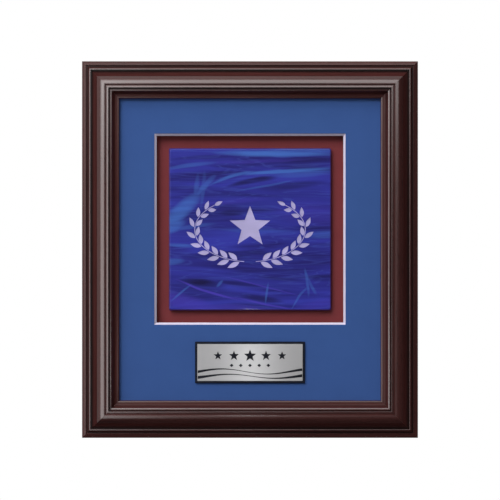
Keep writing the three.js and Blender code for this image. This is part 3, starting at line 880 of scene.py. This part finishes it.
def name_plate():
    """A brushed silver face with black-filled engraving, on a black backing and its adhesive."""
    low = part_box("plate_face")[0]
    middle = centre_of("plate_face")
    outlines = shifted(plate_artwork(), middle.x, middle.z)
    cutter = prisms("engraving", outlines, black_fill, low.y - CUTTER_RISE, low.y + ENGRAVING)
    sheet("silver_plate_face", "plate_face", ((1.0, silver),), 0.6 * MM, 0.12 * MM, cutter)
    sheet("black_plate_backing", "plate_backing", ((1.0, black_enamel),), 0.7 * MM, 0.3 * MM)
    sheet("plate_adhesive", "plate_film", ((1.0, foam_tape),), 0.6 * MM, 0.05 * MM)


name_plate()

# ---- Back hardware ----
SCREW = {
    "tip": 0.15 * MM, "point": 3 * MM, "shank": 1.6 * MM, "arris": 0.15 * MM,
    "head_height": 1.9 * MM, "rim": 0.0, "steps": 8,
}
NAIL = {
    "tip": 0.08 * MM, "point": 2 * MM, "shank": 0.8 * MM, "arris": 0.12 * MM,
    "head_height": 0.8 * MM, "rim": 0.1 * MM, "steps": 6,
}
RECESS_REACH = 1.95 * MM
RECESS_HALF_WIDTH = 0.42 * MM
RECESS_DEPTH = 1.25 * MM

# A turn button's two rounds, and the distance between their centres.
BUTTON_ROUND = 6.2 * MM
BUTTON_TIP_ROUND = 3.6 * MM
BUTTON_REACH = 13.4 * MM
BUTTON_HOLE = 1.9 * MM
BUTTON_EDGE = 0.22 * MM
RIB_ENDS = (6.5 * MM, 14.5 * MM)  # from the pivot
RIB_RAMP = 2 * MM
RIB_HALF_WIDTH = 1.5 * MM
RIB_HEIGHT = 0.45 * MM


def pin(name, node, tip, point, shank, arris, head_height, rim, steps):
    """A screw or a nail: a tapered point, a plain shank and a domed head, its curve in steps."""
    low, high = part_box(node)
    head, seat = (high.x - low.x) / 2, high.y - head_height
    profile = [
        (tip, low.y),
        (shank, low.y + point),
        (shank, seat),
        (head - arris, seat),
        (head, seat + arris),
    ]
    rise = head_height - rim
    for i in range(steps):
        angle = TURN / 4 * i / steps
        profile.append((head * math.cos(angle), seat + rim + rise * (0.32 + 0.68 * math.sin(angle))))
    profile.append((head * 0.12, high.y))
    return turned(name, profile, node, yellow_plate)


def cross_cutter(name, centre, top, angle):
    """A tapered cross, as a screwdriver bit leaves it."""
    reach, half = RECESS_REACH, RECESS_HALF_WIDTH
    outline = []
    for arm in range(4):
        a = angle + TURN / 4 * arm
        for x, z in ((half, half), (reach, half), (reach, -half)):
            outline.append((x * math.cos(a) + z * math.sin(a), x * math.sin(a) - z * math.cos(a)))
    mouth = upright(outline, centre, top + RECESS_DEPTH, 1.15)
    floor = upright(outline, centre, top - RECESS_DEPTH, 0.45)
    return loft(name, [mouth, floor], [yellow_plate])


def wood_screw(place, angle):
    """A pan-head screw with a cross recess, its shank in the wood."""
    node = f"turn_button_screw_{place}"
    piece = pin(f"pan_head_screw_{place}", node, **SCREW)
    carved(piece, cross_cutter(f"bit_{place}", centre_of(node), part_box(node)[1].y, angle))
    finished(piece, node)


def turn_button(place):
    """A stamped steel button: a rounded blank with a screw hole and a raised rib towards its tip."""
    node = f"turn_button_{place}"
    joint = next(j for j in frame["joints"] if j["child"] == f"button_{place}")
    pivot = Vector(joint["pos_m"])
    low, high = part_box(node)
    tip_side = centre_of(node) - pivot
    tip_side = Vector((tip_side.x, 0, tip_side.z)).normalized()
    cross_side = Vector((tip_side.z, 0, -tip_side.x))
    sides, steps = 96, 14

    def outline_radius(angle):
        """Distance from the pivot to the edge of two joined rounds, at an angle from the tip."""
        lean = math.acos((BUTTON_ROUND - BUTTON_TIP_ROUND) / BUTTON_REACH)
        angle = abs((angle + math.pi) % TURN - math.pi)
        if angle > lean:
            return BUTTON_ROUND
        straight = BUTTON_ROUND / math.cos(lean - angle)
        across = BUTTON_REACH * math.sin(angle)
        if across >= BUTTON_TIP_ROUND:
            return straight
        tip = BUTTON_REACH * math.cos(angle) + math.sqrt(BUTTON_TIP_ROUND ** 2 - across ** 2)
        return min(straight, tip)

    def rib(along, across):
        """Height of the stamped rib above the blank."""
        run = share_of(along - RIB_ENDS[0], RIB_RAMP) * share_of(RIB_ENDS[1] - along, RIB_RAMP)
        side = share_of(RIB_HALF_WIDTH - abs(across), RIB_HALF_WIDTH)
        return RIB_HEIGHT * min(run * side * 1.6, 1)

    def ring(share, inset, y):
        points = []
        for i in range(sides):
            angle = TURN * i / sides
            radius = BUTTON_HOLE + inset + share * (outline_radius(angle) - BUTTON_HOLE - 2 * inset)
            along, across = radius * math.cos(angle), radius * math.sin(angle)
            point = pivot + along * tip_side + across * cross_side
            points.append((point.x, y + rib(along, across), point.z))
        return points

    shares = [i / steps for i in range(steps + 1)]
    rear, fore = high.y - BUTTON_EDGE, low.y + BUTTON_EDGE
    rings = [ring(share, BUTTON_EDGE, high.y) for share in shares]
    rings += [ring(1, 0, rear), ring(1, 0, fore)]
    rings += [ring(share, BUTTON_EDGE, low.y) for share in reversed(shares)]
    rings += [ring(0, 0, fore), ring(0, 0, rear)]
    piece = loft(f"stamped_button_{place}", rings, [zinc], closed=True, crease=35)
    finished(piece, node, f"button_{place}")


BUTTON_PLACES = ("bottom_left", "bottom_right", "right", "top_left", "top_right", "left")
for index, place in enumerate(BUTTON_PLACES):
    turn_button(place)
    driven_to = 0.4 + 1.3 * index  # in radians, so that no two crosses stand alike
    wood_screw(place, driven_to)

HANGER_THICKNESS = 0.9 * MM
HANGER_FOOT = 7 * MM
HANGER_RAMP = 2.6 * MM
TOOTH_PITCH = 2.4 * MM
TOOTH_DEPTH = 1.6 * MM
TOOTH_LAND = 0.12 * MM  # half the flat between two notches
TEETH_EACH_SIDE = 6
BEND_EASE = 0.35 * MM


def sawtooth_hanger():
    """A stamped strip: flat feet, a raised middle and teeth along its lower edge."""
    low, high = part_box("sawtooth_hanger")
    half = (high.x - low.x) / 2
    outline = [(half, low.z), (half, high.z), (-half, high.z), (-half, low.z)]
    for tooth in range(-TEETH_EACH_SIDE, TEETH_EACH_SIDE + 1):
        middle = tooth * TOOTH_PITCH
        flat = TOOTH_PITCH / 2 - TOOTH_LAND
        outline += [(middle - flat, low.z), (middle, low.z + TOOTH_DEPTH), (middle + flat, low.z)]
    work = bmesh.new()
    work.faces.new([work.verts.new((x, 0, z)) for x, z in outline])
    bends = (half - HANGER_FOOT, half - HANGER_FOOT - HANGER_RAMP)
    eases = (-BEND_EASE, 0, BEND_EASE)
    for x in (sign * (bend + ease) for sign in (-1, 1) for bend in bends for ease in eases):
        geometry = work.verts[:] + work.edges[:] + work.faces[:]
        bmesh.ops.bisect_plane(work, geom=geometry, plane_co=(x, 0, 0), plane_no=(1, 0, 0))
    near, far = low.y, high.y - HANGER_THICKNESS

    def raised(x):
        return near + (far - near) * share_of(bends[0] - abs(x), HANGER_RAMP)

    for vertex in work.verts:
        vertex.co.y = sum(raised(vertex.co.x + ease) for ease in eases) / 3
    bmesh.ops.recalc_face_normals(work, faces=work.faces)
    if work.faces[0].normal.y < 0:
        bmesh.ops.reverse_faces(work, faces=work.faces)
    mesh = bpy.data.meshes.new("sawtooth_strip")
    work.to_mesh(mesh)
    work.free()
    mesh.materials.append(zinc)
    piece = placed("sawtooth_strip", mesh)
    settled(
        piece,
        ("SOLIDIFY", {"thickness": HANGER_THICKNESS, "offset": 1.0}),
        ("BEVEL", {"width": 0.12 * MM, "segments": 2, "angle_limit": math.radians(40)}),
    )
    set_shading(piece.data, 35)
    finished(piece, "sawtooth_hanger")


sawtooth_hanger()


def wall_bumper(side):
    """A moulded rubber stud: a foot flange, a tapered body and a flat face with a soft rim."""
    node = f"wall_bumper_{side}"
    low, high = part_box(node)
    foot, face = (high.x - low.x) / 2, 4 * MM
    profile = [
        (foot - 0.3 * MM, low.y),
        (foot, low.y + 0.25 * MM),
        *arc((foot - 0.25 * MM, low.y + 0.9 * MM), 0.25 * MM, 0, 90, 4),
        (face + 0.75 * MM, low.y + 1.3 * MM),
        *arc((face, high.y - 0.5 * MM), 0.5 * MM, 0, 90, 5),
        (face - 1.0 * MM, high.y),
        (face - 1.3 * MM, high.y - 0.25 * MM),
        (0.3 * MM, high.y - 0.3 * MM),
    ]
    piece = turned(f"rubber_stud_{side}", profile, node, rubber, sides=64)
    finished(piece, node)


for side in ("left", "right"):
    node = f"hanger_nail_{side}"
    finished(pin(f"flat_nail_{side}", node, **NAIL), node)
    wall_bumper(side)

for node, shown in frame["nodes"].items():
    if node.startswith("v_nail"):
        shown.data.materials.clear()
        shown.data.materials.append(zinc)

# ---- Floor, light and camera ----
FLOOR_DROP = 2.6
VIEW_WIDTH = 468.5 * MM  # what the picture spans at the mat's face
LENS, SENSOR = 135.0, 36.0
CAMERA_DISTANCE = VIEW_WIDTH * LENS / SENSOR
CAMERA_DROP = 0.4 * MM
PLATE_SHEEN_DISTANCE = 0.7


def studio_floor():
    """A plain pale floor, well below a plaque that hangs at eye height."""
    finish = Finish("studio_floor", Roughness=0.9)
    mottle = finish.noise(3, 2, 0.5)
    finish.paint(finish.blend(mottle, (0.86, 0.86, 0.86, 1), (0.9, 0.9, 0.9, 1)))
    sides, radius = 96, 1.8
    rim = [(x, y, -FLOOR_DROP) for x, y in arc((0, 0), radius, 0, 360, sides)[:-1]]
    floor = new_piece("floor", rim, [tuple(range(sides))], [finish.material])
    floor.visible_diffuse = floor.visible_glossy = False


def panel(name, direction, distance, size, power, diffuse=True, glossy=True):
    """A soft rectangular light that faces the plaque from a direction."""
    lamp = bpy.data.lights.new(name, "AREA")
    lamp.shape = "RECTANGLE"
    lamp.size, lamp.size_y = size
    lamp.energy = power
    light = placed(name, lamp)
    target = Vector((0, BACK - CREST / 2, MIDDLE))
    offset = Vector(direction).normalized() * distance
    light.location = target + offset
    light.rotation_euler = offset.to_track_quat("Z", "Y").to_euler()
    light.visible_diffuse, light.visible_glossy = diffuse, glossy
    light.visible_camera = False
    return light


def plate_sheen():
    """A thin, faint upright light that the brushed name plate mirrors as a soft band down its middle.

    It hangs below the plate by as much as a viewer straight in front of the plaque looks down on it.
    """
    plate = centre_of("plate_face")
    size = (8 * MM, 100 * MM)
    light = panel("plate_sheen", (0, -1, 0), PLATE_SHEEN_DISTANCE, size, 0.078, diffuse=False)
    drop = (plate.z - MIDDLE) * (1 + PLATE_SHEEN_DISTANCE / CAMERA_DISTANCE)
    light.location = (0, plate.y - PLATE_SHEEN_DISTANCE, MIDDLE + drop)
    light.rotation_euler = (light.location - plate).to_track_quat("Z", "Y").to_euler()


def studio_lights():
    """A key from the upper left, a grazing fill across it, and two long panels that the wood mirrors."""
    panel("key", (-0.8, -1, 1.28), 2.6, (2, 2), 72, glossy=False)
    panel("low_fill", (1, -0.2, -0.9), 2, (1, 1), 8.5, glossy=False)
    panel("left_panel", (-0.59, -1, 0), 1.4, (1.14, 2.2), 18.5, diffuse=False)
    panel("top_panel", (0, -1, 0.58), 1.4, (2.2, 1.1), 18, diffuse=False)
    panel("back_fill", (0.5, 1, 0.7), 2, (1.6, 1.6), 22)
    plate_sheen()


def studio_world():
    """White behind the plaque, and a softer surround for all else, brighter on the left and above."""
    world = bpy.data.worlds.new("studio")
    bpy.context.scene.world = world
    world.use_nodes = True
    world.node_tree.nodes.clear()
    nodes = Nodes(world.node_tree)
    direction = nodes.node("TexCoord").outputs["Generated"]
    slope = nodes.node("VectorMath", {0: direction, 1: (-0.35, 0.0, 0.55)}, operation="DOT_PRODUCT")
    slope = slope.outputs["Value"]
    # Polished wood mirrors brighter surroundings, on the lit sides, than the ones that fill the shadows.
    rays = nodes.node("LightPath").outputs
    level = nodes.node("Mix", {
        "Factor": rays["Is Glossy Ray"],
        2: nodes.rescale(slope, -0.55, 0.55, 0.12, 0.28),
        3: nodes.rescale(slope, -0.2, 0.6, 0.02, 0.7),
    }).outputs[0]
    surround = nodes.node("Background", {"Color": (1, 0.98, 0.97, 1), "Strength": level}).outputs[0]
    backdrop = nodes.node("Background", {"Color": (1, 1, 1, 1)}).outputs[0]
    either = nodes.node("MixShader", {0: rays["Is Camera Ray"], 1: surround, 2: backdrop})
    nodes.node("OutputWorld", {"Surface": either.outputs[0]})


def front_camera():
    """Square on to the plaque, about level with its centre."""
    data = bpy.data.cameras.new("camera")
    data.lens, data.sensor_width = LENS, SENSOR
    camera = placed("camera", data)
    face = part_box("window_mat")[0].y
    camera.location = (0, face - CAMERA_DISTANCE, MIDDLE - CAMERA_DROP)
    camera.rotation_euler = (TURN / 4, 0, 0)
    data.clip_start, data.clip_end = 0.05, 30
    bpy.context.scene.camera = camera


studio_floor()
studio_lights()
studio_world()
front_camera()
bpy.context.scene.view_settings.view_transform = "Standard"
